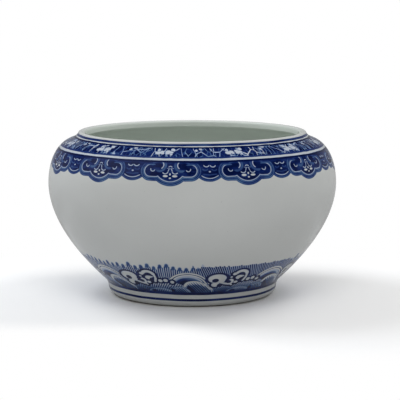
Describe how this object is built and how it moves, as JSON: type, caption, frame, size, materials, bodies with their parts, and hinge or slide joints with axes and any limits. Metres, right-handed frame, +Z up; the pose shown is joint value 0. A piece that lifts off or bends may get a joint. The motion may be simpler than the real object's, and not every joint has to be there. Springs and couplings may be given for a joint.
{
  "type": "porcelain jardiniere bowl",
  "caption": "Squat globular porcelain jardiniere with an incurved shoulder, a low raised lip and a turned foot ring, built of luted sections.",
  "frame": {"origin": "on the bowl's axis, at the plane that the foot ring stands on", "axes": "+Z up along the axis of the bowl, -Y towards the viewer of the picture, +X to the viewer's right"},
  "size_m": [0.4, 0.4, 0.227],
  "materials": {
    "painted_glaze": "gloss clear glaze over white porcelain, painted in cobalt blue under the glaze",
    "plain_glaze": "gloss clear glaze over white porcelain",
    "unglazed_foot": "wiped bare clay on the standing face, fired buff brown, with glaze above it"
  },
  "bodies": {
    "root": {"foot_ring": "unglazed_foot", "base_disc": "plain_glaze", "lower_bowl": "painted_glaze", "upper_bowl": "painted_glaze", "mouth_rim": "painted_glaze"}
  },
  "joints": []
}
